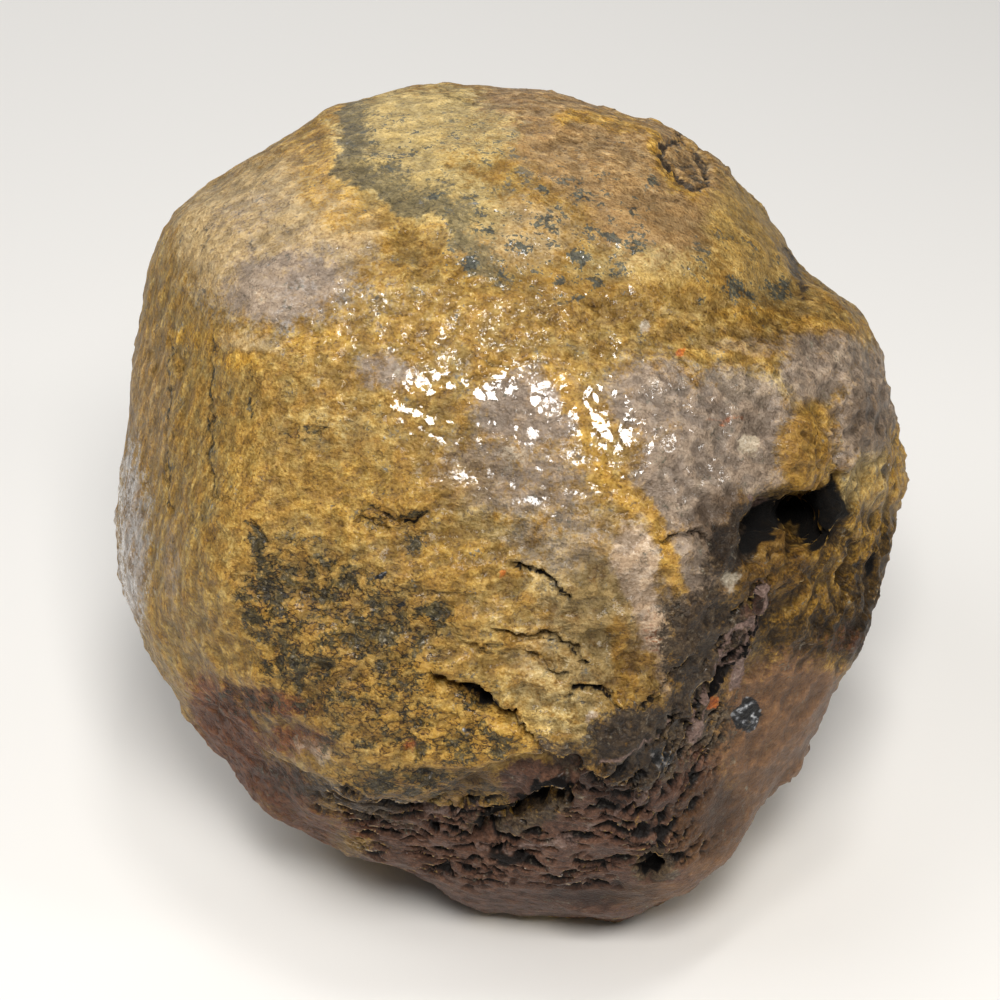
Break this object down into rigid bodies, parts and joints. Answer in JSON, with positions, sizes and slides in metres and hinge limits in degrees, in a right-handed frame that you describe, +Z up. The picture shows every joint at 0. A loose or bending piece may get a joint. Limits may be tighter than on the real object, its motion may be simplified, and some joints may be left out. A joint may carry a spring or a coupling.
{
  "type": "agate nodule",
  "caption": "Rough rounded agate nodule with a granular ochre rind, a broken shoulder, a small dark hollow and a flat spot to rest on.",
  "frame": {"origin": "on the resting plane, under the middle of the nodule's box", "axes": "+Z up from the flat spot it rests on; +X along the nodule's longest extent, to the right of someone facing its best side; that side faces -Y and up"},
  "size_m": [0.0606, 0.0568, 0.0581],
  "materials": {
    "rind": "granular limonite-stained rind, wet and glossy in places"
  },
  "bodies": {
    "root": {"nodule": "rind"}
  },
  "joints": []
}
